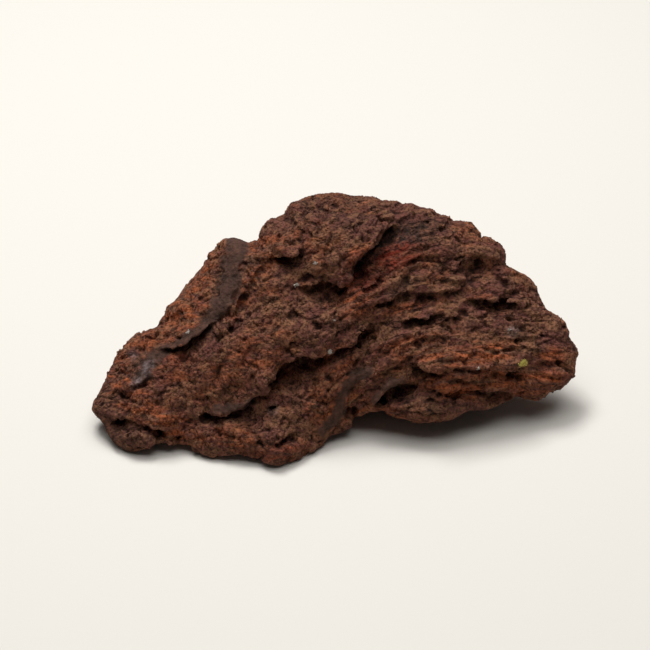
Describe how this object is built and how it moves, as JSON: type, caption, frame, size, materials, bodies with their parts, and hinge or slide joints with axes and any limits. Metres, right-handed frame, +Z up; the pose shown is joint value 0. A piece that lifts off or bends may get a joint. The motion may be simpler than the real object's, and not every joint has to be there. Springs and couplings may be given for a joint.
{
  "type": "lava rock",
  "caption": "Rough lump of red-brown scoria with a smooth rolled ridge, folded ledges, layered slots and small pits, lying on an uneven underside with flat feet.",
  "frame": {"origin": "middle of the rock's box at the height of its feet, on the surface it stands on", "axes": "+X along the length, to the right of the broad layered face; +Y to the back; +Z up from the feet; the broad face looks to -Y and up"},
  "size_m": [0.1976, 0.1122, 0.0782],
  "materials": {
    "scoria": "rough, matt, with pits"
  },
  "bodies": {
    "root": {"lava_rock": "scoria"}
  },
  "joints": []
}
